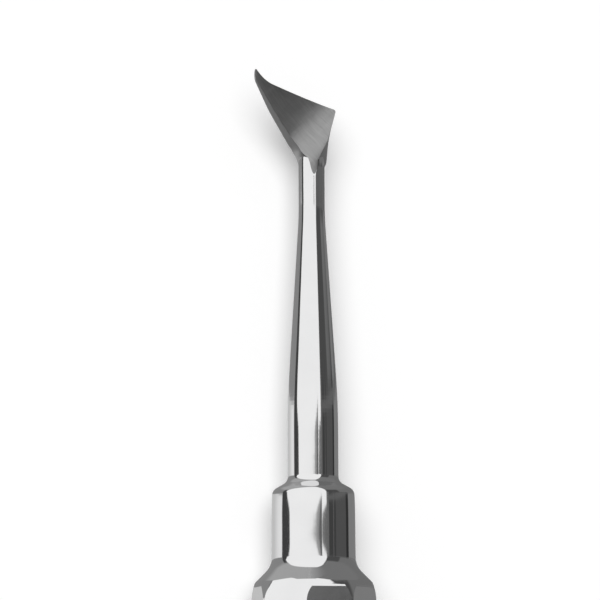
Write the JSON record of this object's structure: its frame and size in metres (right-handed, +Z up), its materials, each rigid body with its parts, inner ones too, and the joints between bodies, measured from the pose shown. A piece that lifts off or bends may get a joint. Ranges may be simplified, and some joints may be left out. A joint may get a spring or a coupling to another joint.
{
  "type": "root elevator",
  "caption": "Surgical root elevator: pointed triangular flag blade, tapered round shank, turned collar and octagonal handle in solid steel.",
  "frame": {"origin": "middle of the tool's length, on the surface that it rests on, under the handle's axis", "axes": "+Y along the tool from the butt to the point of the blade, +Z up from the rest surface, the same way as the blade's ground face; the point of the blade is on the -X side"},
  "size_m": [0.0125, 0.15, 0.012],
  "materials": {
    "steel": "mirror-polished stainless steel, with the blade's face and side walls ground satin"
  },
  "bodies": {
    "root": {"elevator": "steel"}
  },
  "joints": []
}
